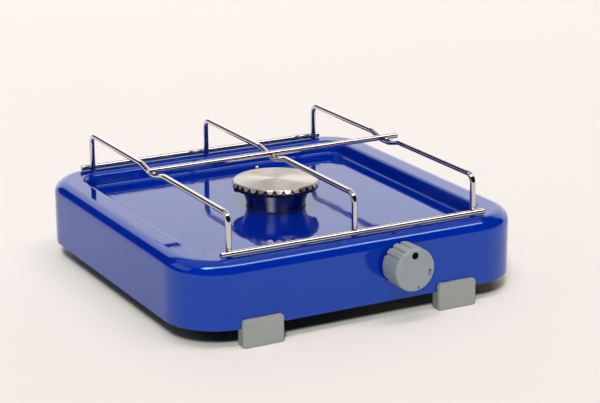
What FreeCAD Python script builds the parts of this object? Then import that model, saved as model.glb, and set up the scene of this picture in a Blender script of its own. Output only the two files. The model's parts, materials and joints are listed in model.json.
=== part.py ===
import FreeCAD, Part
import math
import os

# Single burner gas stove, in millimetres. +Z is up, the knob is at the front, towards -Y,
# and the origin is on the ground under the middle of the body.

# Hob pan: distances from the outer wall inwards are called offsets.
PAN_HALF_X = 143.5
PAN_HALF_Y = 142.5
PAN_CORNER_R = 41.0
SKIRT_BOTTOM = 14.6
RIM_TOP = 64.5
RIM_OUTER_R = 10.0
RIM_FLAT_END = 21.5
RIM_INNER_R = 4.5
TRAY_WALL_ANGLE = math.radians(80.0)
TRAY_FOOT_R = 2.5
TRAY_FLOOR = 54.15
SHEET = 1.0
TRAY_UNDERSIDE = TRAY_FLOOR - SHEET

# Pan support of round wire
WIRE_R = 2.2
BASE_WIRE_Z = 67.05
BASE_WIRES_Y = {"front": -129.2, "rear": 130.7}
BASE_WIRE_ENDS_X = (-111.6, 110.8)
BAIL_X = 103.0
BAIL_LEGS_Y = (-124.9, 126.4)
BAIL_TOP_Z = 95.4
BAIL_BEND_R = 7.0
BAIL_DIP_Z = 91.8
BAIL_DIP_Y = (-16.0, -1.0, 9.0, 26.0)
BAIL_DIP_R = 14.0
CORNER_LEG_END_Z = 57.5
MIDDLE_LEG_END_Z = RIM_TOP + 0.3
CROSS_WIRE_Y = 3.0
CROSS_WIRE_Z = 95.6
CROSS_WIRE_ENDS_X = (-108.0, 113.0)
PEG_HOLE_R = 2.6

# Feet
FOOT_WIDTH = 33.0
FOOT_HEIGHT = 21.4
FOOT_FACE_Y = 146.0
FOOT_BACK_Y = 137.0
FOOT_CENTRES_X = {"left": -86.0, "right": 77.5}
FOOT_TOP_CORNER_R = 3.0
FOOT_BOTTOM_CORNER_R = 2.6
FOOT_EDGE_R = 1.5

# Burner, with heights above the tray floor
BURNER_HOLE_R = 10.4
GASKET_R = 23.7
GASKET_T = 0.6
BOWL_BASE_R = 23.1
BOWL_BAND_R = 24.2
BOWL_BAND_H = 7.4
BOWL_SHOULDER_R = 24.7
BOWL_TOP_R = 27.6
BOWL_TOP_H = 15.7
BOWL_SHEET = 1.2
LIP_R = 34.0
LIP_CHAMFER = 0.5
LIP_INNER_R = 20.0
LIP_TOP_H = 18.3
TAB_WIDTH = 4.2
TAB_OUTER_R = 34.8
TAB_BOTTOM_H = 14.9
TAB_ANGLES = (-113.0, -5.0, 67.0, 175.0)
CAP_R = 34.2
CAP_TOP_R = 32.9
CAP_EDGE_H = 21.4
CAP_SHOULDER_R = 1.4
CAP_CROWN_H = 22.2
CAP_SHEET = 1.1
NOTCH_COUNT = 30
NOTCH_PHASE = 1.0
NOTCH_WIDTH = 3.0
NOTCH_HEIGHT = 2.4

# Mixing tube and injector under the tray
TUBE_THREAD_R = 10.0
TUBE_R = 9.0
TUBE_BORE_R = 7.5
TUBE_FLANGE_R = 14.0
TUBE_FLANGE_T = 1.8
TUBE_THREAD_BOTTOM = 46.0
TUBE_BOTTOM = 30.0
WINDOW_COUNT = 4
WINDOW_SIZE = 7.0
WINDOW_BOTTOM = 35.0
LOCK_NUT_FLATS = 27.0
LOCK_NUT_T = 5.0
HOLDER_R = 10.0
HOLDER_BOTTOM = 17.0
HOLDER_SPIGOT_R = 7.4
HOLDER_SPIGOT_H = 2.5
HOLDER_PORT_Z = 24.0
HOLDER_PORT_R = 5.0
HOLDER_PORT_Y = -15.0
JET_FLATS = 8.0
JET_HEX_H = 4.0
JET_TIP_H = 3.0
JET_BORE_R = 0.5

# Tap on the knob axis, which runs along +Y
TAP_X = 28.1
TAP_Z = 43.9
NECK_R = 7.0
NECK_HOLE_R = 7.3
NECK_FRONT_Y = -147.0
PANEL_WASHER_T = 0.8
PANEL_NUT_T = 2.6
PANEL_NUT_FLATS = 19.0
BONNET_R = 10.2
BONNET_REAR_Y = -123.0
BONNET_CAVITY_R = 7.6
BONNET_CAVITY_Y = -139.0
SCREW_OFFSET_X = 12.2
SCREW_R = 1.5
SCREW_HEAD_R = 2.6
SCREW_HEAD_T = 2.2
SCREW_END_Y = -128.0
LUG_R = 3.6
FLANGE_REAR_Y = -120.5
BARREL_R = 8.8
BARREL_REAR_Y = -84.0
PLUG_FRONT_Y = -122.5
PLUG_REAR_Y = -101.5
PLUG_FRONT_R = 6.5
PLUG_REAR_R = 5.3
PLUG_CLEARANCE = 0.08
PLUG_SLOT_W = 2.6
PLUG_SLOT_END_Y = -117.0
PLUG_BORE_R = 1.58
PLUG_CHAMBER_R = 3.4
PLUG_CHAMBER_Y = -113.0
PORT_Y = -110.0
MAIN_PORT_R = 2.0
LOW_PORT_R = 0.6
MAIN_PORT_ANGLE = 78.0
LOW_PORT_ANGLE = 10.0
SEAT_FRONT_Y = -101.3
SEAT_REAR_Y = -97.5
SEAT_BORE_R = 2.6
CHAMBER_R = 6.6
INLET_PORT_Y = -91.0
INLET_BOSS_R = 6.0
INLET_BOSS_X = TAP_X + 14.0
OUTLET_BOSS_R = 5.0
OUTLET_BOSS_X = TAP_X - 12.0
UNION_BORE_R = 2.0

# Spindle, push pin and return spring
SPINDLE_FRONT_Y = -161.0
SPINDLE_D_R = 3.0
SPINDLE_FLAT = 1.8
SPINDLE_SHANK_Y = -147.5
SPINDLE_SHANK_R = 4.0
COLLAR_FRONT_Y = -138.9
COLLAR_REAR_Y = -136.5
COLLAR_R = 7.0
TANG_SHAFT_R = 3.0
TANG_FRONT_Y = -125.2
TANG_END_Y = -121.2
TANG_THICK = 2.0
TANG_WIDTH = 8.0
PIN_R = 1.5
PIN_FRONT_Y = -121.1
PIN_REAR_Y = -97.8
RETURN_SPRING_R = 5.3
RETURN_SPRING_WIRE_R = 0.45
RETURN_SPRING_TURNS = 5.0

# Flame-failure valve
DISC_R = 4.2
DISC_FRONT_Y = -97.4
DISC_REAR_Y = -95.9
STEM_R = 1.2
STEM_END_Y = -86.0
VALVE_SPRING_R = 2.6
VALVE_SPRING_WIRE_R = 0.3
VALVE_SPRING_TURNS = 4.0
SPRING_STEPS = 14
MAGNET_NOSE_Y = -90.0
MAGNET_NOSE_R = 4.5
MAGNET_THREAD_Y = -88.0
MAGNET_THREAD_R = 6.55
MAGNET_BORE_R = 1.3
MAGNET_BORE_END_Y = -82.0
MAGNET_FLANGE_R = 8.2
MAGNET_FLANGE_T = 1.5
MAGNET_CAN_R = 6.2
MAGNET_CAN_END_Y = -66.0
MAGNET_TAIL_R = 4.0
MAGNET_TAIL_END_Y = -60.0
MAGNET_NUT_FLATS = 14.5
MAGNET_NUT_T = 3.5
LEAD_R = 1.0
LEAD_NUT_FLATS = 9.0
LEAD_NUT_T = 6.0

# Thermocouple probe behind the burner
PROBE_X = 3.0
PROBE_Y = 38.0
PROBE_TOP_Z = 76.0
PROBE_R = 1.9
PROBE_TIP_R = 1.4
PROBE_TIP_H = 5.0
PROBE_THREAD_R = 2.9
PROBE_HOLE_R = 3.1
PROBE_COLLAR_R = 4.3
PROBE_COLLAR_T = 1.6
PROBE_THREAD_BOTTOM = 48.0
PROBE_BOTTOM = 44.0
PROBE_NUT_FLATS = 9.0
PROBE_NUT_T = 3.0

# Gas pipes and their union nuts
PIPE_R = 3.0
PIPE_BORE_R = 2.1
INLET_PIPE_R = 4.0
INLET_PIPE_BORE_R = 3.0
UNION_FLATS = 13.0
INLET_UNION_FLATS = 15.0
UNION_GRIP = 2.2
UNION_LENGTH = 10.0

# Hose connector through the rear skirt
INLET_X = 66.0
INLET_THREAD_R = 6.58
INLET_RELIEF_R = 5.8
INLET_THREAD_Y = 150.5
INLET_TIP_Y = 166.0
INLET_BORE_R = 4.0
INLET_SHOULDER_Y = 134.0
INLET_SHOULDER_FLATS = 19.0
INLET_SPIGOT_Y = 126.0
BULKHEAD_THREAD_R = 7.9
BULKHEAD_HOLE_R = 8.2
BULKHEAD_WASHER_T = 0.8
BULKHEAD_WASHER_R = 11.0
BULKHEAD_NUT_T = 5.0
BULKHEAD_NUT_FLATS = 19.0

# Knob
KNOB_R = 16.5
KNOB_FACE_Y = -166.0
KNOB_BASE_Y = -146.0
KNOB_WALL = 2.3
KNOB_FACE_T = 3.5
KNOB_EDGE_R = 2.6
HUB_R = 6.5
HUB_END_Y = -149.5
HUB_CLEARANCE = 0.05
CLIP_T = 0.6
CLIP_LENGTH = 5.0
CLIP_GAP = 3.0
GROOVE_R = 1.5
GROOVE_START_R = 16.6
GROOVE_END_R = 17.1
GROOVE_END_Y = -162.2
GROOVE_GROUPS = (2.5, 122.5, 242.5)
GROOVE_PITCH = 23.5

X_AXIS = FreeCAD.Vector(1, 0, 0)
Y_AXIS = FreeCAD.Vector(0, 1, 0)
Z_AXIS = FreeCAD.Vector(0, 0, 1)
ORIGIN = FreeCAD.Vector(0, 0, 0)
CUT_OVER = 1.0
NEAR = 0.01


def point(x, y, z):
    return FreeCAD.Vector(x, y, z)


def on_tap(y):
    return point(TAP_X, y, TAP_Z)


def placed(solid, start, axis):
    """Moves a solid built along +Z from the origin to start along axis."""
    solid.Placement = FreeCAD.Placement(start, FreeCAD.Rotation(Z_AXIS, axis))
    return solid


def cylinder(radius, start, axis, length):
    return Part.makeCylinder(radius, length, start, axis)


def tap_cylinder(radius, start_y, end_y):
    return cylinder(radius, on_tap(start_y), Y_AXIS, end_y - start_y)


def block(x_range, y_range, z_range):
    low = point(x_range[0], y_range[0], z_range[0])
    return Part.makeBox(x_range[1] - x_range[0], y_range[1] - y_range[0], z_range[1] - z_range[0], low)


def turned(profile, start=ORIGIN, axis=Z_AXIS):
    """Solid of revolution of a closed (radius, height) outline."""
    corners = [point(radius, 0, height) for radius, height in profile]
    face = Part.Face(Part.makePolygon(corners + corners[:1]))
    return placed(face.revolve(ORIGIN, Z_AXIS, 360), start, axis)


def ring(outer, inner, start, axis, length):
    return cylinder(outer, start, axis, length).cut(cylinder(inner, start, axis, length))


def hex_bar(flats, start, axis, length):
    """Hexagonal bar whose corners are chamfered at both ends."""
    corner_r = flats / math.sqrt(3)
    corners = [point(corner_r * math.cos(step * math.pi / 3), corner_r * math.sin(step * math.pi / 3), 0)
               for step in range(6)]
    bar = Part.Face(Part.makePolygon(corners + corners[:1])).extrude(Z_AXIS * length)
    chamfer = corner_r - flats / 2
    chamfer_h = chamfer * 0.6
    outline = [(0, 0), (flats / 2, 0), (corner_r, chamfer_h), (corner_r, length - chamfer_h),
               (flats / 2, length), (0, length)]
    return placed(bar.common(turned(outline)), start, axis)


def nut(flats, bore_r, start, axis, length):
    return hex_bar(flats, start, axis, length).cut(cylinder(bore_r, start, axis, length))


def union_nut(flats, boss_r, pipe_r, boss_end, axis):
    """Nut that grips a threaded boss and closes round the pipe leaving it along axis."""
    start = boss_end - axis * UNION_GRIP
    body = hex_bar(flats, start, axis, UNION_LENGTH)
    thread = cylinder(boss_r, start, axis, UNION_GRIP)
    throat = cylinder(pipe_r, start, axis, UNION_LENGTH)
    return body.cut(thread).cut(throat)


def bent_path(points, radii):
    """Straight runs joined by tangent arcs of the given radii."""
    edges = []
    start = points[0]
    for before, corner, after, radius in zip(points, points[1:], points[2:], radii):
        into = (corner - before).normalize()
        out = (after - corner).normalize()
        half_turn = into.getAngle(out) / 2
        reach = radius * math.tan(half_turn)
        centre = corner + (out - into).normalize() * (radius / math.cos(half_turn))
        arc_start = corner - into * reach
        arc_middle = centre + (corner - centre).normalize() * radius
        arc_end = corner + out * reach
        edges.append(Part.LineSegment(start, arc_start).toShape())
        edges.append(Part.Arc(arc_start, arc_middle, arc_end).toShape())
        start = arc_end
    edges.append(Part.LineSegment(start, points[-1]).toShape())
    return Part.Wire(edges)


def rod(points, radii, radius):
    section = Part.Wire(Part.makeCircle(radius, points[0], points[1] - points[0]))
    return bent_path(points, radii).makePipeShell([section], True, True)


def pipe(points, radii, outer, inner):
    return rod(points, radii, outer).cut(rod(points, radii, inner))


def spring(mean_r, wire_r, turns, start_y, end_y):
    """Open coil round the tap axis between two planes, faceted along and round its wire."""
    steps = round(turns * SPRING_STEPS)
    rise = end_y - start_y - 2 * wire_r

    def section(step):
        swing = 2 * math.pi * step / SPRING_STEPS
        centre = on_tap(start_y + wire_r + rise * step / steps)
        outward = X_AXIS * math.cos(swing) + Z_AXIS * math.sin(swing)
        return [centre + outward * (mean_r + wire_r * math.cos(side * math.pi / 3))
                + Y_AXIS * (wire_r * math.sin(side * math.pi / 3)) for side in range(6)]

    def facet(*corners):
        return Part.Face(Part.makePolygon(corners + corners[:1]))

    sections = [section(step) for step in range(steps + 1)]
    facets = [facet(*sections[0]), facet(*sections[-1])]
    for near, far in zip(sections, sections[1:]):
        for side in range(6):
            after = (side + 1) % 6
            facets.append(facet(near[side], near[after], far[after]))
            facets.append(facet(near[side], far[after], far[side]))
    return Part.Solid(Part.Shell(facets))


def turned_about(shape, angle, centre=ORIGIN, axis=Z_AXIS):
    copy = shape.copy()
    copy.rotate(centre, axis, angle)
    return copy


def fused(shapes):
    return shapes[0].multiFuse(shapes[1:]).removeSplitter()


def sheet_outline(depth):
    """Outline, as (offset, height), of the volume that lies depth under the sheet's outer face."""
    normal = (math.sin(TRAY_WALL_ANGLE), math.cos(TRAY_WALL_ANGLE))
    inner_r = RIM_INNER_R - depth
    foot_r = TRAY_FOOT_R + depth
    inner_centre = (RIM_FLAT_END, RIM_TOP - RIM_INNER_R)
    foot_centre_z = TRAY_FLOOR + TRAY_FOOT_R
    wall_top = (inner_centre[0] + RIM_INNER_R * normal[0], inner_centre[1] + RIM_INNER_R * normal[1])
    wall_foot_z = foot_centre_z - TRAY_FOOT_R * normal[1]
    wall_foot_offset = wall_top[0] + (wall_top[1] - wall_foot_z) / math.tan(TRAY_WALL_ANGLE)
    foot_centre = (wall_foot_offset + TRAY_FOOT_R * normal[0], foot_centre_z)

    def around(centre, radius, angle):
        return point(centre[0] + radius * math.cos(angle), 0, centre[1] + radius * math.sin(angle))

    outer_centre = (RIM_OUTER_R, RIM_TOP - RIM_OUTER_R)
    outer_r = RIM_OUTER_R - depth
    wall_tilt = math.pi / 2 - TRAY_WALL_ANGLE
    bottom = SKIRT_BOTTOM - (CUT_OVER if depth else 0)
    start = point(depth, 0, bottom)
    side_top = around(outer_centre, outer_r, math.pi)
    crest_start = around(outer_centre, outer_r, math.pi / 2)
    crest_end = around(inner_centre, inner_r, math.pi / 2)
    shoulder_end = around(inner_centre, inner_r, wall_tilt)
    foot_start = around(foot_centre, foot_r, math.pi + wall_tilt)
    foot_end = around(foot_centre, foot_r, 1.5 * math.pi)
    floor_end = point(PAN_CORNER_R, 0, TRAY_FLOOR - depth)
    arcs = {
        "outer": around(outer_centre, outer_r, 0.75 * math.pi),
        "inner": around(inner_centre, inner_r, (math.pi / 2 + wall_tilt) / 2),
        "foot": around(foot_centre, foot_r, (2.5 * math.pi + wall_tilt) / 2),
    }
    edges = [
        Part.LineSegment(start, side_top),
        Part.Arc(side_top, arcs["outer"], crest_start),
        Part.LineSegment(crest_start, crest_end),
        Part.Arc(crest_end, arcs["inner"], shoulder_end),
        Part.LineSegment(shoulder_end, foot_start),
        Part.Arc(foot_start, arcs["foot"], foot_end),
        Part.LineSegment(foot_end, floor_end),
        Part.LineSegment(floor_end, point(PAN_CORNER_R, 0, bottom)),
        Part.LineSegment(point(PAN_CORNER_R, 0, bottom), start),
    ]
    return Part.Face(Part.Wire([edge.toShape() for edge in edges]))


def sheet_volume(depth):
    """Everything that lies at least depth under the sheet's outer face."""
    straight_x = PAN_HALF_X - PAN_CORNER_R
    straight_y = PAN_HALF_Y - PAN_CORNER_R
    bottom = SKIRT_BOTTOM - (CUT_OVER if depth else 0)
    pieces = [block((-straight_x, straight_x), (-straight_y, straight_y), (bottom, TRAY_FLOOR - depth))]
    for angle, wall, half_run in ((0, PAN_HALF_X, straight_y), (90, PAN_HALF_Y, straight_x),
                                  (180, PAN_HALF_X, straight_y), (270, PAN_HALF_Y, straight_x)):
        side = sheet_outline(depth)
        side.rotate(ORIGIN, Z_AXIS, 180)
        side.translate(point(wall, -half_run, 0))
        pieces.append(turned_about(side.extrude(Y_AXIS * (2 * half_run)), angle))
    for angle, x_sign, y_sign in ((0, 1, 1), (90, -1, 1), (180, -1, -1), (270, 1, -1)):
        corner = sheet_outline(depth)
        corner.rotate(ORIGIN, Z_AXIS, 180)
        corner.translate(point(PAN_CORNER_R, 0, 0))
        quarter = corner.revolve(ORIGIN, Z_AXIS, 90)
        quarter.rotate(ORIGIN, Z_AXIS, angle)
        quarter.translate(point(x_sign * straight_x, y_sign * straight_y, 0))
        pieces.append(quarter)
    return fused(pieces)


def hob_pan():
    pan = sheet_volume(0).cut(sheet_volume(SHEET))
    below_tray = TRAY_FLOOR - SHEET - CUT_OVER
    through_floor = SHEET + 2 * CUT_OVER
    holes = [
        cylinder(BURNER_HOLE_R, point(0, 0, below_tray), Z_AXIS, through_floor),
        cylinder(PROBE_HOLE_R, point(PROBE_X, PROBE_Y, below_tray), Z_AXIS, through_floor),
        cylinder(NECK_HOLE_R, on_tap(-PAN_HALF_Y - CUT_OVER), Y_AXIS, through_floor),
        cylinder(BULKHEAD_HOLE_R, point(INLET_X, PAN_HALF_Y - SHEET - CUT_OVER, TAP_Z), Y_AXIS, through_floor),
    ]
    for x in (-BAIL_X, BAIL_X):
        for y in BAIL_LEGS_Y:
            below_rim = point(x, y, RIM_TOP - SHEET - CUT_OVER)
            holes.append(cylinder(PEG_HOLE_R, below_rim, Z_AXIS, through_floor))
    return pan.cut(Part.makeCompound(holes))


def front_foot(centre_x):
    """Foot whose slot takes the lower edge of the front skirt."""
    skirt_outer = -PAN_HALF_Y
    skirt_inner = skirt_outer + SHEET
    corners = [(-FOOT_FACE_Y, 0), (-FOOT_BACK_Y, 0), (-FOOT_BACK_Y, FOOT_HEIGHT),
               (skirt_inner, FOOT_HEIGHT), (skirt_inner, SKIRT_BOTTOM), (skirt_outer, SKIRT_BOTTOM),
               (skirt_outer, FOOT_HEIGHT), (-FOOT_FACE_Y, FOOT_HEIGHT)]
    outline = [point(centre_x - FOOT_WIDTH / 2, y, z) for y, z in corners]
    foot = Part.Face(Part.makePolygon(outline + outline[:1])).extrude(X_AXIS * FOOT_WIDTH)
    for radius, height in ((FOOT_TOP_CORNER_R, FOOT_HEIGHT), (FOOT_BOTTOM_CORNER_R, 0)):
        foot = foot.makeFillet(radius, edges_where(foot, lambda start, end: is_side_edge(start, end, height)))
    face_edges = edges_where(foot, lambda start, end: on_front_plane(start) and on_front_plane(end))
    return foot.makeFillet(FOOT_EDGE_R, face_edges)


def edges_where(shape, wanted):
    return [edge for edge in shape.Edges if wanted(edge.Vertexes[0].Point, edge.Vertexes[-1].Point)]


def is_side_edge(start, end, height):
    """True for an edge along Y at the given height, which is a corner of the foot seen from the front."""
    along_y = abs(start.y - end.y) > SHEET and abs(start.x - end.x) < NEAR
    return along_y and abs(start.z - height) < NEAR and abs(end.z - height) < NEAR


def on_front_plane(vertex):
    return abs(vertex.y + FOOT_FACE_Y) < NEAR


def rear_foot(centre_x):
    return front_foot(centre_x).mirror(ORIGIN, Y_AXIS)


def straight_wire(ends_x, y, z):
    """Wire along X with softened ends."""
    chamfer = WIRE_R / 4
    length = ends_x[1] - ends_x[0]
    outline = [(0, 0), (WIRE_R - chamfer, 0), (WIRE_R, chamfer), (WIRE_R, length - chamfer),
               (WIRE_R - chamfer, length), (0, length)]
    return turned(outline, point(ends_x[0], y, z), X_AXIS)


def bail(x, leg_end_z):
    """Upturned U of wire with a shallow dip for the cross wire."""
    front_y, rear_y = BAIL_LEGS_Y
    dip_start, dip_low, dip_high, dip_end = BAIL_DIP_Y
    route = [(front_y, leg_end_z), (front_y, BAIL_TOP_Z), (dip_start, BAIL_TOP_Z),
             (dip_low, BAIL_DIP_Z), (dip_high, BAIL_DIP_Z), (dip_end, BAIL_TOP_Z),
             (rear_y, BAIL_TOP_Z), (rear_y, leg_end_z)]
    radii = [BAIL_BEND_R] + [BAIL_DIP_R] * len(BAIL_DIP_Y) + [BAIL_BEND_R]
    return rod([point(x, y, z) for y, z in route], radii, WIRE_R)


def burner_gasket():
    return ring(GASKET_R, BURNER_HOLE_R, point(0, 0, TRAY_FLOOR), Z_AXIS, GASKET_T)


def burner_bowl():
    inner_base = GASKET_T + BOWL_SHEET
    outline = [(TUBE_THREAD_R, GASKET_T), (BOWL_BASE_R, GASKET_T), (BOWL_BAND_R, BOWL_BAND_H),
               (BOWL_SHOULDER_R, BOWL_BAND_H + BOWL_SHEET / 3), (BOWL_TOP_R, BOWL_TOP_H),
               (BOWL_TOP_R - BOWL_SHEET, BOWL_TOP_H),
               (BOWL_SHOULDER_R - BOWL_SHEET, BOWL_BAND_H + BOWL_SHEET / 3),
               (BOWL_BASE_R - BOWL_SHEET, inner_base), (TUBE_THREAD_R, inner_base)]
    return turned(outline, point(0, 0, TRAY_FLOOR))


def flame_lip():
    """Dark ring on the bowl, with tabs folded down round its edge."""
    outline = [(LIP_INNER_R, BOWL_TOP_H), (LIP_R, BOWL_TOP_H), (LIP_R, LIP_TOP_H - LIP_CHAMFER),
               (LIP_R - LIP_CHAMFER, LIP_TOP_H), (LIP_INNER_R, LIP_TOP_H)]
    lip = turned(outline, point(0, 0, TRAY_FLOOR))
    tab = block((LIP_R - SHEET, TAB_OUTER_R), (-TAB_WIDTH / 2, TAB_WIDTH / 2),
                (TRAY_FLOOR + TAB_BOTTOM_H, TRAY_FLOOR + LIP_TOP_H))
    tabs = [turned_about(tab, angle) for angle in TAB_ANGLES]
    return fused([lip] + tabs)


def burner_cap():
    """Pressed cap whose sloping skirt is notched all round for the flames."""
    outline = [(0, CAP_CROWN_H - CAP_SHEET), (CAP_TOP_R - CAP_SHEET, CAP_EDGE_H - CAP_SHEET),
               (CAP_R - CAP_SHEET, LIP_TOP_H), (CAP_R, LIP_TOP_H), (CAP_TOP_R, CAP_EDGE_H), (0, CAP_CROWN_H)]
    cap = turned(outline, point(0, 0, TRAY_FLOOR))
    edge_z = TRAY_FLOOR + CAP_EDGE_H
    cap = cap.makeFillet(CAP_SHOULDER_R, edges_where(cap, lambda start, end: abs(start.z - edge_z) < NEAR
                                                     and abs(end.z - edge_z) < NEAR))
    notch_base = TRAY_FLOOR + LIP_TOP_H
    corners = [point(CAP_R - 3 * CAP_SHEET, -NOTCH_WIDTH / 2, notch_base),
               point(CAP_R - 3 * CAP_SHEET, NOTCH_WIDTH / 2, notch_base),
               point(CAP_R - 3 * CAP_SHEET, 0, notch_base + NOTCH_HEIGHT)]
    notch = Part.Face(Part.makePolygon(corners + corners[:1])).extrude(X_AXIS * (4 * CAP_SHEET))
    notches = [turned_about(notch, NOTCH_PHASE + step * 360 / NOTCH_COUNT) for step in range(NOTCH_COUNT)]
    return cap.cut(Part.makeCompound(notches))


def mixing_tube():
    flange_z = TRAY_FLOOR + GASKET_T + BOWL_SHEET
    outline = [(TUBE_BORE_R, TUBE_BOTTOM), (TUBE_R, TUBE_BOTTOM), (TUBE_R, TUBE_THREAD_BOTTOM),
               (TUBE_THREAD_R, TUBE_THREAD_BOTTOM), (TUBE_THREAD_R, flange_z), (TUBE_FLANGE_R, flange_z),
               (TUBE_FLANGE_R, flange_z + TUBE_FLANGE_T), (TUBE_BORE_R, flange_z + TUBE_FLANGE_T)]
    window = block((0, 2 * TUBE_R), (-WINDOW_SIZE / 2, WINDOW_SIZE / 2),
                   (WINDOW_BOTTOM, WINDOW_BOTTOM + WINDOW_SIZE))
    windows = [turned_about(window, (step + 0.5) * 360 / WINDOW_COUNT) for step in range(WINDOW_COUNT)]
    return turned(outline).cut(Part.makeCompound(windows))


def burner_lock_nut():
    bottom = point(0, 0, TRAY_UNDERSIDE - LOCK_NUT_T)
    return nut(LOCK_NUT_FLATS, TUBE_THREAD_R, bottom, Z_AXIS, LOCK_NUT_T)


def injector_holder():
    body = cylinder(HOLDER_R, point(0, 0, HOLDER_BOTTOM), Z_AXIS, TUBE_BOTTOM - HOLDER_BOTTOM)
    spigot = cylinder(HOLDER_SPIGOT_R, point(0, 0, TUBE_BOTTOM), Z_AXIS, HOLDER_SPIGOT_H)
    boss = cylinder(HOLDER_PORT_R, point(0, 0, HOLDER_PORT_Z), -Y_AXIS, -HOLDER_PORT_Y)
    port_centre = point(0, 0, HOLDER_PORT_Z)
    across = cylinder(UNION_BORE_R, port_centre, -Y_AXIS, -HOLDER_PORT_Y)
    up = cylinder(UNION_BORE_R, port_centre, Z_AXIS, TUBE_BOTTOM + HOLDER_SPIGOT_H - HOLDER_PORT_Z)
    return fused([body, spigot, boss]).cut(fused([across, up]))


def injector_jet():
    base = TUBE_BOTTOM + HOLDER_SPIGOT_H
    head = hex_bar(JET_FLATS, point(0, 0, base), Z_AXIS, JET_HEX_H)
    tip_start = point(0, 0, base + JET_HEX_H)
    tip = Part.makeCone(JET_FLATS / 2 - CUT_OVER, JET_FLATS / 4, JET_TIP_H, tip_start, Z_AXIS)
    bore = cylinder(JET_BORE_R, point(0, 0, base), Z_AXIS, JET_HEX_H + JET_TIP_H)
    return fused([head, tip]).cut(bore)


def beside_tap(radius, start_y, end_y):
    """One cylinder of the given radius on each screw's axis."""
    return [cylinder(radius, point(x, start_y, TAP_Z), Y_AXIS, end_y - start_y)
            for x in (TAP_X - SCREW_OFFSET_X, TAP_X + SCREW_OFFSET_X)]


def tap_bonnet():
    """Front half of the tap: threaded neck through the skirt and the spring housing behind it."""
    panel_inner_y = -PAN_HALF_Y + SHEET
    neck = tap_cylinder(NECK_R, NECK_FRONT_Y, panel_inner_y)
    housing = tap_cylinder(BONNET_R, panel_inner_y, BONNET_REAR_Y)
    body = fused([neck, housing] + beside_tap(LUG_R, SCREW_END_Y, BONNET_REAR_Y))
    bore = tap_cylinder(SPINDLE_SHANK_R + HUB_CLEARANCE, NECK_FRONT_Y, BONNET_CAVITY_Y)
    cavity = tap_cylinder(BONNET_CAVITY_R, BONNET_CAVITY_Y, BONNET_REAR_Y)
    return body.cut(Part.makeCompound([bore, cavity] + beside_tap(SCREW_R, SCREW_END_Y, BONNET_REAR_Y)))


def tap_panel_washer():
    start = on_tap(-PAN_HALF_Y - PANEL_WASHER_T)
    return ring(PANEL_NUT_FLATS / math.sqrt(3), NECK_R, start, Y_AXIS, PANEL_WASHER_T)


def tap_panel_nut():
    start = on_tap(-PAN_HALF_Y - PANEL_WASHER_T - PANEL_NUT_T)
    return nut(PANEL_NUT_FLATS, NECK_R, start, Y_AXIS, PANEL_NUT_T)


def tap_screws():
    """Both screws that hold the tap body to the bonnet."""
    shanks = beside_tap(SCREW_R, SCREW_END_Y, FLANGE_REAR_Y)
    heads = beside_tap(SCREW_HEAD_R, FLANGE_REAR_Y, FLANGE_REAR_Y + SCREW_HEAD_T)
    return Part.makeCompound([fused([shank, head]) for shank, head in zip(shanks, heads)])


def plug_cone(clearance, front_y, rear_y):
    """Taper of the plug, widened by clearance and cut off at two planes."""
    slope = (PLUG_FRONT_R - PLUG_REAR_R) / (PLUG_REAR_Y - PLUG_FRONT_Y)
    front_r = PLUG_FRONT_R + clearance - slope * (front_y - PLUG_FRONT_Y)
    rear_r = PLUG_FRONT_R + clearance - slope * (rear_y - PLUG_FRONT_Y)
    return Part.makeCone(front_r, rear_r, rear_y - front_y, on_tap(front_y), Y_AXIS)


def tap_body():
    """Rear half of the tap: plug barrel, valve seat and valve chamber, with its two ports."""
    flange = tap_cylinder(BONNET_R, BONNET_REAR_Y, FLANGE_REAR_Y)
    lugs = beside_tap(LUG_R, BONNET_REAR_Y, FLANGE_REAR_Y)
    barrel = tap_cylinder(BARREL_R, FLANGE_REAR_Y, BARREL_REAR_Y)
    inlet = cylinder(INLET_BOSS_R, on_tap(INLET_PORT_Y), X_AXIS, INLET_BOSS_X - TAP_X)
    outlet = cylinder(OUTLET_BOSS_R, on_tap(PORT_Y), -X_AXIS, TAP_X - OUTLET_BOSS_X)
    body = fused([flange, barrel, inlet, outlet] + lugs)
    hollows = [
        plug_cone(PLUG_CLEARANCE, BONNET_REAR_Y, SEAT_FRONT_Y),
        tap_cylinder(SEAT_BORE_R, SEAT_FRONT_Y, SEAT_REAR_Y),
        tap_cylinder(CHAMBER_R, SEAT_REAR_Y, BARREL_REAR_Y),
        cylinder(UNION_BORE_R, on_tap(INLET_PORT_Y), X_AXIS, INLET_BOSS_X - TAP_X),
        cylinder(UNION_BORE_R, on_tap(PORT_Y), -X_AXIS, TAP_X - OUTLET_BOSS_X),
    ]
    hollows += beside_tap(SCREW_R, BONNET_REAR_Y, FLANGE_REAR_Y)
    return body.cut(Part.makeCompound(hollows))


def tap_plug():
    plug = plug_cone(0, PLUG_FRONT_Y, PLUG_REAR_Y)
    slot_half = PLUG_SLOT_W / 2
    slot = block((TAP_X - slot_half, TAP_X + slot_half), (PLUG_FRONT_Y, PLUG_SLOT_END_Y),
                 (TAP_Z - PLUG_FRONT_R, TAP_Z + PLUG_FRONT_R))
    bore = tap_cylinder(PLUG_BORE_R, PLUG_FRONT_Y, PLUG_REAR_Y)
    chamber = tap_cylinder(PLUG_CHAMBER_R, PLUG_CHAMBER_Y, PLUG_REAR_Y)
    port_centre = on_tap(PORT_Y)
    main_port = turned_about(cylinder(MAIN_PORT_R, port_centre, X_AXIS, PLUG_FRONT_R), MAIN_PORT_ANGLE,
                             port_centre, -Y_AXIS)
    low_port = turned_about(cylinder(LOW_PORT_R, port_centre, X_AXIS, PLUG_FRONT_R), LOW_PORT_ANGLE,
                            port_centre, -Y_AXIS)
    return plug.cut(fused([slot, bore, chamber, main_port, low_port]))


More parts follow.
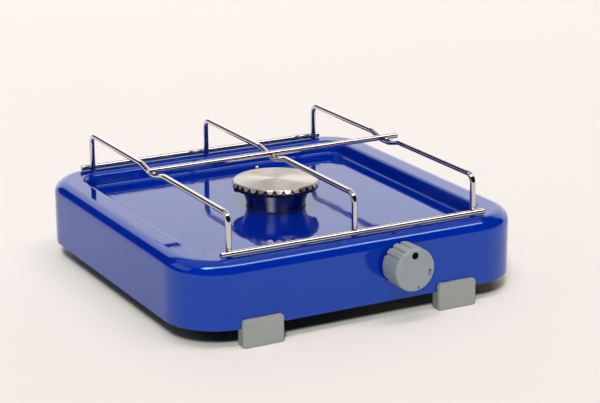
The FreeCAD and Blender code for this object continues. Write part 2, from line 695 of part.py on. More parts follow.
def spindle():
    """D-ended shank, collar for the return spring, and a tang that drives the plug."""
    d_end = tap_cylinder(SPINDLE_D_R, SPINDLE_FRONT_Y, SPINDLE_SHANK_Y)
    flat = block((TAP_X - SPINDLE_D_R, TAP_X + SPINDLE_D_R), (SPINDLE_FRONT_Y, SPINDLE_SHANK_Y),
                 (TAP_Z + SPINDLE_FLAT, TAP_Z + SPINDLE_D_R))
    shank = tap_cylinder(SPINDLE_SHANK_R, SPINDLE_SHANK_Y, COLLAR_FRONT_Y)
    collar = tap_cylinder(COLLAR_R, COLLAR_FRONT_Y, COLLAR_REAR_Y)
    tang_shaft = tap_cylinder(TANG_SHAFT_R, COLLAR_REAR_Y, TANG_FRONT_Y)
    tang = block((TAP_X - TANG_THICK / 2, TAP_X + TANG_THICK / 2), (TANG_FRONT_Y, TANG_END_Y),
                 (TAP_Z - TANG_WIDTH / 2, TAP_Z + TANG_WIDTH / 2))
    return fused([d_end.cut(flat), shank, collar, tang_shaft, tang])


def plug_push_pin():
    return tap_cylinder(PIN_R, PIN_FRONT_Y, PIN_REAR_Y)


def return_spring():
    return spring(RETURN_SPRING_R, RETURN_SPRING_WIRE_R, RETURN_SPRING_TURNS, COLLAR_REAR_Y, PLUG_FRONT_Y)


def valve_disc():
    disc = tap_cylinder(DISC_R, DISC_FRONT_Y, DISC_REAR_Y)
    return fused([disc, tap_cylinder(STEM_R, DISC_REAR_Y, STEM_END_Y)])


def valve_spring():
    return spring(VALVE_SPRING_R, VALVE_SPRING_WIRE_R, VALVE_SPRING_TURNS, DISC_REAR_Y, MAGNET_NOSE_Y)


def magnet_unit():
    """Can with the holding magnet, screwed into the rear of the tap body."""
    flange_end = BARREL_REAR_Y + MAGNET_FLANGE_T
    body = fused([
        tap_cylinder(MAGNET_NOSE_R, MAGNET_NOSE_Y, MAGNET_THREAD_Y),
        tap_cylinder(MAGNET_THREAD_R, MAGNET_THREAD_Y, BARREL_REAR_Y),
        tap_cylinder(MAGNET_FLANGE_R, BARREL_REAR_Y, flange_end),
        tap_cylinder(MAGNET_CAN_R, flange_end, MAGNET_CAN_END_Y),
        tap_cylinder(MAGNET_TAIL_R, MAGNET_CAN_END_Y, MAGNET_TAIL_END_Y),
    ])
    return body.cut(tap_cylinder(MAGNET_BORE_R, MAGNET_NOSE_Y, MAGNET_BORE_END_Y))


def magnet_nut():
    return nut(MAGNET_NUT_FLATS, MAGNET_CAN_R, on_tap(BARREL_REAR_Y + MAGNET_FLANGE_T), Y_AXIS, MAGNET_NUT_T)


def lead_nut():
    return nut(LEAD_NUT_FLATS, LEAD_R, on_tap(MAGNET_TAIL_END_Y), Y_AXIS, LEAD_NUT_T)


def thermocouple_lead():
    """Copper lead from the magnet unit to the probe, clear of the mixing tube."""
    route = [on_tap(MAGNET_TAIL_END_Y), point(TAP_X, -24, TAP_Z), point(27, 2, 38), point(18, 24, 30),
             point(PROBE_X, PROBE_Y, 30), point(PROBE_X, PROBE_Y, PROBE_BOTTOM)]
    return rod(route, [50, 30, 14, 6], LEAD_R)


def thermocouple_probe():
    collar_top = TRAY_FLOOR + PROBE_COLLAR_T
    tip_base = PROBE_TOP_Z - PROBE_TIP_H
    outline = [(0, PROBE_BOTTOM), (PROBE_R, PROBE_BOTTOM), (PROBE_R, PROBE_THREAD_BOTTOM),
               (PROBE_THREAD_R, PROBE_THREAD_BOTTOM), (PROBE_THREAD_R, TRAY_FLOOR),
               (PROBE_COLLAR_R, TRAY_FLOOR), (PROBE_COLLAR_R, collar_top), (PROBE_R, collar_top),
               (PROBE_R, tip_base), (PROBE_TIP_R, tip_base + PROBE_R - PROBE_TIP_R),
               (PROBE_TIP_R, PROBE_TOP_Z - PROBE_TIP_R / 2), (PROBE_TIP_R / 2, PROBE_TOP_Z),
               (0, PROBE_TOP_Z)]
    return turned(outline, point(PROBE_X, PROBE_Y, 0))


def probe_nut():
    bottom = point(PROBE_X, PROBE_Y, TRAY_UNDERSIDE - PROBE_NUT_T)
    return nut(PROBE_NUT_FLATS, PROBE_THREAD_R, bottom, Z_AXIS, PROBE_NUT_T)


def gas_pipe():
    """Pipe from the tap's outlet to the injector holder."""
    route = [point(OUTLET_BOSS_X, PORT_Y, TAP_Z), point(-6, PORT_Y, TAP_Z), point(0, -36, HOLDER_PORT_Z),
             point(0, HOLDER_PORT_Y, HOLDER_PORT_Z)]
    return pipe(route, [11, 28], PIPE_R, PIPE_BORE_R)


def inlet_pipe():
    """Pipe from the rear connector to the tap's inlet."""
    route = [point(INLET_BOSS_X, INLET_PORT_Y, TAP_Z), point(INLET_X, INLET_PORT_Y, TAP_Z),
             point(INLET_X, INLET_SPIGOT_Y, TAP_Z)]
    return pipe(route, [13], INLET_PIPE_R, INLET_PIPE_BORE_R)


def inlet_connector():
    """Bulkhead thread held against the inside of the rear skirt, and a smaller thread for the gas hose."""
    skirt_inner = PAN_HALF_Y - SHEET
    thread_start = INLET_THREAD_Y - skirt_inner
    relief_start = thread_start - SHEET
    thread_end = INLET_TIP_Y - skirt_inner
    spigot_start = point(INLET_X, INLET_SPIGOT_Y, TAP_Z)
    spigot = cylinder(INLET_BOSS_R, spigot_start, Y_AXIS, INLET_SHOULDER_Y - INLET_SPIGOT_Y)
    shoulder = hex_bar(INLET_SHOULDER_FLATS, point(INLET_X, INLET_SHOULDER_Y, TAP_Z), Y_AXIS,
                       skirt_inner - INLET_SHOULDER_Y)
    thread = turned([(0, 0), (BULKHEAD_THREAD_R, 0), (BULKHEAD_THREAD_R, relief_start),
                     (INLET_RELIEF_R, relief_start), (INLET_RELIEF_R, thread_start),
                     (INLET_THREAD_R, thread_start), (INLET_THREAD_R, thread_end - SHEET),
                     (INLET_THREAD_R - SHEET, thread_end), (0, thread_end)],
                    point(INLET_X, skirt_inner, TAP_Z), Y_AXIS)
    bore = cylinder(INLET_BORE_R, spigot_start, Y_AXIS, INLET_TIP_Y - INLET_SPIGOT_Y)
    return fused([spigot, shoulder, thread]).cut(bore)


def bulkhead_washer():
    start = point(INLET_X, PAN_HALF_Y, TAP_Z)
    return ring(BULKHEAD_WASHER_R, BULKHEAD_THREAD_R, start, Y_AXIS, BULKHEAD_WASHER_T)


def bulkhead_nut():
    start = point(INLET_X, PAN_HALF_Y + BULKHEAD_WASHER_T, TAP_Z)
    return nut(BULKHEAD_NUT_FLATS, BULKHEAD_THREAD_R, start, Y_AXIS, BULKHEAD_NUT_T)


def knob_grooves():
    """Three groups of three finger grooves that end before the knob's face."""
    grooves = []
    for group in GROOVE_GROUPS:
        for step in (-1, 0, 1):
            start = on_tap(KNOB_BASE_Y + CUT_OVER) + X_AXIS * GROOVE_START_R
            end = on_tap(GROOVE_END_Y) + X_AXIS * GROOVE_END_R
            run = cylinder(GROOVE_R, start, end - start, (end - start).Length)
            groove = run.fuse(Part.makeSphere(GROOVE_R, end))
            grooves.append(turned_about(groove, group + step * GROOVE_PITCH, on_tap(0), -Y_AXIS))
    return grooves


def knob():
    outside = tap_cylinder(KNOB_R, KNOB_FACE_Y, KNOB_BASE_Y)
    face_edges = edges_where(outside, lambda start, end: abs(start.y + end.y - 2 * KNOB_FACE_Y) < NEAR)
    outside = outside.makeFillet(KNOB_EDGE_R, face_edges)
    outside = outside.cut(Part.makeCompound(knob_grooves()))
    ceiling_y = KNOB_FACE_Y + KNOB_FACE_T
    hollow = tap_cylinder(KNOB_R - KNOB_WALL, ceiling_y, KNOB_BASE_Y)
    hub = tap_cylinder(HUB_R, ceiling_y, HUB_END_Y)
    bore_r = SPINDLE_D_R + HUB_CLEARANCE
    bore = tap_cylinder(bore_r, SPINDLE_FRONT_Y - HUB_CLEARANCE, HUB_END_Y)
    flat = block((TAP_X - bore_r, TAP_X + bore_r), (SPINDLE_FRONT_Y - HUB_CLEARANCE, HUB_END_Y),
                 (TAP_Z + SPINDLE_FLAT + HUB_CLEARANCE, TAP_Z + bore_r))
    return outside.cut(hollow.cut(hub)).cut(bore.cut(flat))


def knob_spring_clip():
    """Split steel ring that squeezes the hub on the spindle."""
    start = on_tap(HUB_END_Y - CLIP_LENGTH)
    clip = ring(HUB_R + CLIP_T, HUB_R, start, Y_AXIS, CLIP_LENGTH)
    gap = block((TAP_X, TAP_X + HUB_R + 2 * CLIP_T), (HUB_END_Y - CLIP_LENGTH, HUB_END_Y),
                (TAP_Z - CLIP_GAP / 2, TAP_Z + CLIP_GAP / 2))
    return clip.cut(gap)


def model():
    """Every piece of the stove by its name."""
    pieces = {"hob_pan": hob_pan()}
    for side, centre_x in FOOT_CENTRES_X.items():
        pieces["foot_front_" + side] = front_foot(centre_x)
        pieces["foot_rear_" + side] = rear_foot(centre_x)
    for side, y in BASE_WIRES_Y.items():
        pieces["support_wire_" + side] = straight_wire(BASE_WIRE_ENDS_X, y, BASE_WIRE_Z)
    pieces["support_bail_left"] = bail(-BAIL_X, CORNER_LEG_END_Z)
    pieces["support_bail_middle"] = bail(0, MIDDLE_LEG_END_Z)
    pieces["support_bail_right"] = bail(BAIL_X, CORNER_LEG_END_Z)
    pieces["support_wire_cross"] = straight_wire(CROSS_WIRE_ENDS_X, CROSS_WIRE_Y, CROSS_WIRE_Z)
    builders = [burner_gasket, burner_bowl, flame_lip, burner_cap, mixing_tube, burner_lock_nut,
                injector_holder, injector_jet, tap_bonnet, tap_panel_washer, tap_panel_nut, tap_screws,
                tap_body, tap_plug, spindle, plug_push_pin, return_spring, valve_disc, valve_spring,
                magnet_unit, magnet_nut, lead_nut, thermocouple_lead, thermocouple_probe, probe_nut,
                gas_pipe, inlet_pipe, inlet_connector, bulkhead_washer, bulkhead_nut, knob,
                knob_spring_clip]
    for builder in builders:
        pieces[builder.__name__] = builder()
    outlet_end = point(OUTLET_BOSS_X, PORT_Y, TAP_Z)
    pieces["outlet_union_nut"] = union_nut(UNION_FLATS, OUTLET_BOSS_R, PIPE_R, outlet_end, -X_AXIS)
    holder_end = point(0, HOLDER_PORT_Y, HOLDER_PORT_Z)
    pieces["injector_union_nut"] = union_nut(UNION_FLATS, HOLDER_PORT_R, PIPE_R, holder_end, -Y_AXIS)
    inlet_end = point(INLET_BOSS_X, INLET_PORT_Y, TAP_Z)
    connector_end = point(INLET_X, INLET_SPIGOT_Y, TAP_Z)
    for name, end, axis in (("tap_inlet", inlet_end, X_AXIS), ("connector", connector_end, -Y_AXIS)):
        pieces[name + "_union_nut"] = union_nut(INLET_UNION_FLATS, INLET_BOSS_R, INLET_PIPE_R, end, axis)
    return pieces


def main():
    os.makedirs("parts", exist_ok=True)
    for name, shape in model().items():
        shape.exportStep("parts/" + name + ".step")
        print(name, "valid", shape.isValid(), "volume", round(shape.Volume))


main()
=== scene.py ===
import json
import math

import bpy
import bmesh
from mathutils import Matrix, Vector, noise
from mathutils.bvhtree import BVHTree


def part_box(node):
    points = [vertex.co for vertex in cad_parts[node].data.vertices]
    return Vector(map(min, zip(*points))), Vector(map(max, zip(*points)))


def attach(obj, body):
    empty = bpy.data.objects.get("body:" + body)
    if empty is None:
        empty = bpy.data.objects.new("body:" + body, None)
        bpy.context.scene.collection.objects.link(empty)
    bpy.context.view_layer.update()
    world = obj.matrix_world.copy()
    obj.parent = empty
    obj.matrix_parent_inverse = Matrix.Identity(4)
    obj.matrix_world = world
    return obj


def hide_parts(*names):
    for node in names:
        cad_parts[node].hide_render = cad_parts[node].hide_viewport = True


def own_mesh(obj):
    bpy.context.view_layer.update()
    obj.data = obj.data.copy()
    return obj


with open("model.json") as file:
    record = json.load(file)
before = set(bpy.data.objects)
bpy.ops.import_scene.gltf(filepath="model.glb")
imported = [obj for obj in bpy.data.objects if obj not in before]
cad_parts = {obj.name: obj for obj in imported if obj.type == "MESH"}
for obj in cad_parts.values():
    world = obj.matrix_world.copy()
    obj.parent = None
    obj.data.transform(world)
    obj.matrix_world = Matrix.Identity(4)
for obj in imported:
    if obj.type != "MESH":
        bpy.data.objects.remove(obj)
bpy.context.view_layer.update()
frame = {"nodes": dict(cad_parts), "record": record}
nodes = frame["nodes"]

MM = 0.001
UP = Vector((0, 0, 1))
FRONT = Vector((0, -1, 0))

# Camera, as fitted to the photograph. Angles are in degrees, and azimuths start at the front.
CAMERA_PLACE = (-0.678784, -1.30362, 0.500269)
CAMERA_AZIMUTH = -28.252
CAMERA_ELEVATION = 16.799
CAMERA_ROLL = -0.257
CAMERA_LENS = 116.506
CAMERA_SENSOR = 36
CAMERA_CLIP = (0.05, 60)

# Hob pan: a face looks up if its normal's Z is over LEVEL. The tray's walls lie within TRAY_REACH of the
# middle, and the skirts beyond it.
LEVEL = 0.25
TRAY_REACH = 0.13

# Notches of the burner cap, and the painted shade in and round them
NOTCH_COUNT = 30
NOTCH_PHASE = math.radians(1.0)
NOTCH_BASE = 72.45 * MM
NOTCH_SHADE_HEIGHT = 3.1 * MM
NOTCH_SHADE_WIDTH = 4.2 * MM
NOTCH_SHADE_UNEVENNESS = 0.25 * MM
NOTCH_SHADE_EDGE = 0.12 * MM

# Prints, with places in millimetres: (x, z) on the knob's face and (x, y) on the rim. A flame's size is
# its height and its line's width. Rays find the surfaces from a little way off.
KNOB_FACE_Y = -166.0
OFF_DOT_PLACE = (27.3, 55.2)
OFF_DOT_R = 2.7 * MM
LARGE_FLAME_PLACE = (39.9, 41.3)
LARGE_FLAME_SIZE = (5.6 * MM, 1.15 * MM)
SMALL_FLAME_PLACE = (30.5, 30.7)
SMALL_FLAME_SIZE = (2.9 * MM, 0.7 * MM)
INDEX_DOT_PLACE = (27.3, -135.7)
INDEX_DOT_R = 1.3 * MM
PRINT_THICKNESS = 0.012 * MM
PRINT_RAY_START = 3 * MM
RIM_RAY_START = 120 * MM
DOT_SIDES = 40
DOT_RINGS = (1.0, 0.7, 0.35)
FLAME_SIDES = 48
FLAME_WIDTH = 0.66
FLAME_TAPER = 1.3
FLAME_BEND = 0.10
FLAME_STRAIGHT = 0.2
FLAME_HOLE_DROP = 0.45

# Weld nuggets of the pan support: half sizes along X, Y and Z, and the noise that makes each one uneven
BASE_WELD = (2.1 * MM, 1.35 * MM, 2.2 * MM)
CROSS_WELD = (2.2 * MM, 2.2 * MM, 1.3 * MM)
CROSS_WELD_DROP = 0.86
WELD_UNEVENNESS = 0.22
WELD_GRAIN = 1.7
WELD_VARIETY = 900.0

# Screw threads. With these starts and ends, a hand of 1 is right and one of -1 is left.
INLET_THREAD = {"radius": 6.58 * MM, "depth": 0.8 * MM, "pitch": 1.337 * MM,
                "start": 167.2 * MM, "end": 151.0 * MM, "hand": -1}
TUBE_THREAD = {"radius": 10.0 * MM, "depth": 0.75 * MM, "pitch": 1.5 * MM,
               "start": 45.0 * MM, "end": 53.6 * MM, "hand": 1}
THREAD_STEPS = 36
THREAD_FLANK = 0.46
CUTTER_OVER = 0.25 * MM
CUTTER_RUN_OUT = 0.02 * MM
THREAD_SHARP_ANGLE = math.radians(32)

FLOOR_SIZE = 60


def direction(azimuth, elevation):
    """Direction from the stove, at an azimuth from the front and an elevation, both in degrees."""
    azimuth, elevation = math.radians(azimuth), math.radians(elevation)
    return Vector((math.sin(azimuth) * math.cos(elevation), -math.cos(azimuth) * math.cos(elevation),
                   math.sin(elevation)))


def add_object(name, data):
    made = bpy.data.objects.new(name, data)
    bpy.context.scene.collection.objects.link(made)
    return made


def make_camera():
    roll = math.radians(CAMERA_ROLL)
    back = direction(CAMERA_AZIMUTH, CAMERA_ELEVATION)
    right = UP.cross(back).normalized()
    up = back.cross(right)
    rolled_right = right * math.cos(roll) + up * math.sin(roll)
    rolled_up = up * math.cos(roll) - right * math.sin(roll)
    data = bpy.data.cameras.new("camera")
    data.sensor_width = CAMERA_SENSOR
    data.lens = CAMERA_LENS
    data.clip_start, data.clip_end = CAMERA_CLIP
    camera = add_object("camera", data)
    turn = Matrix((rolled_right, rolled_up, back)).transposed().to_4x4()
    camera.matrix_world = Matrix.Translation(CAMERA_PLACE) @ turn
    bpy.context.scene.camera = camera


# Node helpers

class NodeTree:
    """Short ways to add nodes to self.tree and to link them."""

    def add(self, kind, links=None, **settings):
        node = self.tree.nodes.new(kind)
        for key, value in settings.items():
            setattr(node, key, value)
        for key, value in (links or {}).items():
            self.put(node.inputs[key], value)
        return node

    def put(self, socket, value):
        """Links a socket to a value that is a socket, and otherwise sets it."""
        if isinstance(value, bpy.types.NodeSocket):
            self.tree.links.new(value, socket)
        elif isinstance(value, tuple) and socket.type == "RGBA":
            socket.default_value = (*value, 1.0)
        else:
            socket.default_value = value

    def math(self, operation, a, b=0.0, *rest):
        node = self.add("ShaderNodeMath", dict(enumerate((a, b, *rest))), operation=operation)
        return node.outputs["Value"]


class Surface(NodeTree):
    """A Principled material and short ways to add procedural detail to it."""

    def __init__(self, name, **values):
        self.material = bpy.data.materials.new(name)
        self.material.use_nodes = True
        self.tree = self.material.node_tree
        self.shader = self.tree.nodes["Principled BSDF"]
        for key, value in values.items():
            self.put(self.shader.inputs[key.replace("_", " ")], value)
        self.coords = self.tree.nodes.new("ShaderNodeTexCoord").outputs["Object"]
        self.normal = None

    def stretched(self, scale):
        """Object coordinates times a scale along each axis."""
        return self.add("ShaderNodeMapping", {"Vector": self.coords, "Scale": scale}).outputs["Vector"]

    def noise(self, scale, detail=2.0, roughness=0.5, vector=None):
        node = self.add("ShaderNodeTexNoise", {
            "Vector": vector or self.coords, "Scale": scale, "Detail": detail, "Roughness": roughness})
        return node.outputs["Fac"]

    def cells(self, scale, feature="F1"):
        node = self.add("ShaderNodeTexVoronoi", {"Vector": self.coords, "Scale": scale}, feature=feature)
        return node.outputs["Distance"]

    def remap(self, value, from_low, from_high, to_low, to_high):
        node = self.add("ShaderNodeMapRange", {
            "Value": value, "From Min": from_low, "From Max": from_high, "To Min": to_low, "To Max": to_high})
        return node.outputs["Result"]

    def mix(self, factor, a, b):
        """Mixes two colours, which are the node's inputs 6 and 7 and its output 2."""
        node = self.add("ShaderNodeMix", data_type="RGBA")
        for socket, value in (("Factor", factor), (6, a), (7, b)):
            self.put(node.inputs[socket], value)
        return node.outputs[2]

    def colour(self, value):
        self.put(self.shader.inputs["Base Color"], value)

    def rough(self, value):
        self.put(self.shader.inputs["Roughness"], value)

    def bump(self, height, depth):
        """Raises the surface by height (0 to 1) times depth in metres."""
        node = self.add("ShaderNodeBump", {"Height": height, "Strength": 1.0, "Distance": depth})
        if self.normal is not None:
            self.put(node.inputs["Normal"], self.normal)
        self.normal = node.outputs["Normal"]
        self.put(self.shader.inputs["Normal"], self.normal)


def show_side(s):
    """1 on the pan's outer side and 0 on its inside, which has a dark base coat, painted near-black as the
    shade under the pan.
    """
    geometry = s.add("ShaderNodeNewGeometry")
    facing = s.add("ShaderNodeSeparateXYZ", {"Vector": geometry.outputs["Normal"]})
    place = s.add("ShaderNodeSeparateXYZ", {"Vector": s.coords})
    outward = s.math("ADD", s.math("MULTIPLY", facing.outputs["X"], place.outputs["X"]),
                     s.math("MULTIPLY", facing.outputs["Y"], place.outputs["Y"]))
    reach = s.math("MAXIMUM", s.math("ABSOLUTE", place.outputs["X"]), s.math("ABSOLUTE", place.outputs["Y"]))
    upright = s.math("GREATER_THAN", facing.outputs["Z"], -LEVEL)
    skirt = s.math("GREATER_THAN", outward, TRAY_REACH)
    well = s.math("MULTIPLY", s.math("LESS_THAN", outward, 0.0), s.math("LESS_THAN", reach, TRAY_REACH))
    sides = s.math("MULTIPLY", upright, s.math("MAXIMUM", skirt, well))
    return s.math("MAXIMUM", s.math("GREATER_THAN", facing.outputs["Z"], LEVEL), sides)


def enamel_blue():
    s = Surface("enamel_blue", Roughness=0.045, IOR=1.7, Specular_Tint=(0.4, 0.8, 1.0))
    tone = s.noise(9.0, 2.0)
    speck = s.remap(s.cells(900.0), 0.0, 0.09, 1.0, 0.0)
    base = s.mix(tone, (0.0, 0.017, 0.31), (0.0, 0.021, 0.34))
    blue = s.mix(s.math("MULTIPLY", speck, 0.35), base, (0.005, 0.01, 0.13))
    # Painted shade: the inside is near-black, a dark coat deepened to stand for the shade under the pan
    ground_coat_and_painted_shade = s.mix(s.noise(500.0, 3.0), (0.003, 0.003, 0.008), (0.008, 0.008, 0.016))
    outer = show_side(s)
    s.colour(s.mix(outer, ground_coat_and_painted_shade, blue))
    sheen = s.remap(s.noise(60.0, 3.0), 0.3, 0.7, 0.03, 0.06)
    s.rough(s.math("ADD", sheen, s.math("MULTIPLY", s.math("SUBTRACT", 1.0, outer), 0.4)))
    s.bump(s.noise(14.0, 1.0), 0.00018)
    s.bump(s.noise(75.0, 2.0), 0.00004)
    s.bump(s.noise(420.0, 2.0, 0.45), 0.000003)
    return s.material


def enamel_dark():
    s = Surface("enamel_dark", Roughness=0.2, IOR=1.6)
    s.colour(s.mix(s.noise(160.0, 3.0), (0.004, 0.004, 0.012), (0.0018, 0.0018, 0.0054)))
    s.rough(s.remap(s.noise(300.0, 3.0), 0.3, 0.7, 0.16, 0.3))
    s.bump(s.noise(700.0, 3.0), 0.000012)
    return s.material


def notch_painted_shade(s, split, reach):
    """1 in and round each notch of the burner cap, where shade is painted near-black: an uneven triangle on
    the cap's lower edge.

    split holds the coordinates, and reach is the distance from the burner's axis.
    """
    angle = s.math("ARCTAN2", split.outputs["Y"], split.outputs["X"])
    half_step = math.pi / NOTCH_COUNT
    turn = s.math("WRAP", s.math("SUBTRACT", angle, NOTCH_PHASE), half_step, -half_step)
    across = s.math("MULTIPLY", s.math("ABSOLUTE", turn), reach)
    below_tip = s.math("SUBTRACT", NOTCH_BASE + NOTCH_SHADE_HEIGHT, split.outputs["Z"])
    half_width = s.math("MULTIPLY", below_tip, NOTCH_SHADE_WIDTH / 2 / NOTCH_SHADE_HEIGHT)
    ragged = s.remap(s.noise(1100.0, 2.0), 0.3, 0.7, -NOTCH_SHADE_UNEVENNESS, NOTCH_SHADE_UNEVENNESS)
    inside = s.math("SUBTRACT", s.math("ADD", half_width, ragged), across)
    return s.remap(inside, -NOTCH_SHADE_EDGE, NOTCH_SHADE_EDGE, 0.0, 1.0)


def turned_finish(name, light, dark, rough, spread, anisotropy, depth, notch_shade=False, **values):
    """A surface turned on a lathe about the burner's axis, with fine rings, soft stains and maybe painted
    shade in and round the cap's notches.
    """
    s = Surface(name, Anisotropic=anisotropy, Anisotropic_Rotation=0.25, Roughness=rough, **values)
    split = s.add("ShaderNodeSeparateXYZ", {"Vector": s.coords})
    reach = s.math("SQRT", s.math("ADD", s.math("MULTIPLY", split.outputs["X"], split.outputs["X"]),
                                  s.math("MULTIPLY", split.outputs["Y"], split.outputs["Y"])))
    turned = s.add("ShaderNodeCombineXYZ", {"X": reach, "Z": s.math("MULTIPLY", split.outputs["Z"], 0.6)})
    rings = s.noise(3800.0, 2.0, 0.6, vector=turned.outputs["Vector"])
    stain = s.noise(60.0, 4.0, 0.6)
    metal = s.mix(stain, light, dark)
    # Painted shade: near-black in and round each notch, so the notches' dark openings look larger
    s.colour(s.mix(notch_painted_shade(s, split, reach), metal, (0.004, 0.004, 0.004)) if notch_shade else metal)
    s.rough(s.remap(s.math("ADD", s.math("MULTIPLY", rings, 0.5), s.math("MULTIPLY", stain, 0.5)),
                    0.3, 0.7, rough - spread, rough + spread))
    s.bump(rings, depth)
    s.bump(s.noise(900.0, 3.0, 0.7), depth * 1.3)
    tangent = s.add("ShaderNodeTangent", direction_type="RADIAL", axis="Z")
    s.put(s.shader.inputs["Tangent"], tangent.outputs["Tangent"])
    return s.material


def chrome_wire():
    s = Surface("chrome_wire", Metallic=1.0, Roughness=0.045)
    s.colour(s.mix(s.noise(220.0, 3.0), (0.66, 0.65, 0.645), (0.58, 0.575, 0.575)))
    s.rough(s.remap(s.noise(500.0, 4.0, 0.65), 0.35, 0.75, 0.03, 0.07))
    s.bump(s.noise(180.0, 2.0), 0.000008)
    return s.material


def grained_plastic(name, light, dark, rough, grain):
    """Moulded plastic with a spark-eroded grain."""
    s = Surface(name, Roughness=rough, IOR=1.5)
    s.colour(s.mix(s.noise(45.0, 3.0), light, dark))
    s.rough(s.remap(s.noise(900.0, 2.0), 0.3, 0.7, rough - 0.06, rough + 0.08))
    s.bump(s.cells(grain, feature="SMOOTH_F1"), 0.00002)
    s.bump(s.noise(2600.0, 2.0), 0.000006)
    return s.material


def worked_metal(name, light, dark, rough, streak=(1.0, 1.0, 1.0), tarnish=None):
    """Metal with fine lines that run where streak is small, and soft stains."""
    s = Surface(name, Metallic=1.0, Roughness=rough)
    lines = s.noise(900.0, 3.0, 0.6, vector=s.stretched(streak))
    stain = s.noise(70.0, 4.0, 0.62)
    base = s.mix(lines, light, dark)
    if tarnish:
        base = s.mix(s.remap(stain, 0.48, 0.72, 0.0, 0.8), base, tarnish)
    s.colour(base)
    s.rough(s.remap(s.math("ADD", s.math("MULTIPLY", lines, 0.6), s.math("MULTIPLY", stain, 0.4)),
                    0.3, 0.7, rough - 0.08, rough + 0.1))
    s.bump(lines, 0.00001)
    return s.material


def fibre_board():
    s = Surface("fibre", Roughness=0.9)
    hairs = s.noise(700.0, 5.0, 0.75, vector=s.stretched((1.0, 3.0, 3.0)))
    s.colour(s.mix(hairs, (0.06, 0.058, 0.06), (0.025, 0.024, 0.025)))
    s.bump(hairs, 0.00008)
    return s.material


def soft_rubber():
    s = Surface("valve_rubber", Roughness=0.75)
    s.colour(s.mix(s.noise(400.0, 3.0), (0.025, 0.025, 0.026), (0.045, 0.044, 0.043)))
    s.bump(s.noise(1500.0, 3.0), 0.00001)
    return s.material


def printed_mark():
    s = Surface("print", Roughness=0.5, Specular_IOR_Level=0.0)
    s.colour(s.mix(s.noise(900.0, 3.0), (0.003, 0.003, 0.003), (0.0024, 0.0024, 0.0024)))
    s.rough(s.remap(s.noise(1500.0, 2.0), 0.3, 0.7, 0.42, 0.6))
    s.bump(s.noise(2000.0, 2.0), 0.000004)
    return s.material


def floor_surface():
    s = Surface("floor", Roughness=0.9, Specular_IOR_Level=0.15)
    split = s.add("ShaderNodeSeparateXYZ", {"Vector": s.coords})
    # Painted light: the floor's colour grows lighter towards the back
    far = s.remap(split.outputs["Y"], -0.5, 1.2, 0.0, 1.0)
    near_tone = s.mix(s.noise(3.0, 2.0), (0.530, 0.542, 0.522), (0.540, 0.552, 0.532))
    s.colour(s.mix(far, near_tone, (0.590, 0.591, 0.576)))
    s.bump(s.noise(1200.0, 2.0), 0.00001)
    return s.material


# One material for each slot of the record, and those of single nodes
MATERIALS = {
    "enamel_blue": enamel_blue(),
    "enamel_dark": enamel_dark(),
    "cap_steel": turned_finish("cap_steel", (0.63, 0.60, 0.57), (0.48, 0.455, 0.43),
                               rough=0.38, spread=0.10, anisotropy=0.82, depth=0.00003,
                               notch_shade=True, Metallic=1.0),
    "fibre": fibre_board(),
    "chrome_wire": chrome_wire(),
    "foot_plastic": grained_plastic("foot_plastic", (0.27, 0.302, 0.29), (0.245, 0.277, 0.265),
                                    rough=0.45, grain=2200.0),
    "knob_plastic": grained_plastic("knob_plastic", (0.25, 0.30, 0.315), (0.228, 0.275, 0.29),
                                    rough=0.40, grain=2600.0),
    "brass": worked_metal("brass", (0.83, 0.66, 0.33), (0.72, 0.55, 0.25), rough=0.27,
                          tarnish=(0.5, 0.36, 0.17)),
    "plated_steel": worked_metal("plated_steel", (0.68, 0.69, 0.70), (0.52, 0.53, 0.55), rough=0.34,
                                 tarnish=(0.42, 0.42, 0.42)),
    "spring_steel": worked_metal("spring_steel", (0.5, 0.5, 0.51), (0.36, 0.36, 0.37), rough=0.3),
    "pipe_aluminium": worked_metal("pipe_aluminium", (0.84, 0.84, 0.85), (0.7, 0.7, 0.71), rough=0.32,
                                   streak=(1.0, 0.15, 1.0)),
    "copper": worked_metal("copper", (0.84, 0.46, 0.32), (0.7, 0.36, 0.24), rough=0.28,
                           tarnish=(0.42, 0.22, 0.15)),
    "valve_rubber": soft_rubber(),
}
NODE_MATERIALS = {
    "burner_bowl": turned_finish("bowl_enamel", (0.0, 0.001, 0.045), (0.0, 0.0, 0.02),
                                 rough=0.30, spread=0.05, anisotropy=0.9, depth=0.000008, IOR=1.65),
    "thermocouple_probe": worked_metal("probe_steel", (0.85, 0.72, 0.50), (0.68, 0.55, 0.36), rough=0.3),
}
PRINT = printed_mark()


def dress_nodes():
    """Gives every CAD node its own material, or else that of its slot."""
    for part in frame["record"]["subparts"]:
        node = part["node"]
        set_material(nodes[node], NODE_MATERIALS.get(node, MATERIALS[part["material_slot"]]))


def set_material(piece, material):
    piece.data.materials.clear()
    piece.data.materials.append(material)


# Detail pieces

def mesh_of(name, shape):
    """Turns a bmesh into a mesh and frees it."""
    mesh = bpy.data.meshes.new(name)
    shape.to_mesh(mesh)
    shape.free()
    return mesh


def add_piece(name, mesh, material, body):
    piece = add_object(name, mesh)
    set_material(piece, material)
    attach(piece, body)
    return piece


def surface_of(node):
    mesh = nodes[node].data
    return BVHTree.FromPolygons([vertex.co for vertex in mesh.vertices],
                                [tuple(face.vertices) for face in mesh.polygons])


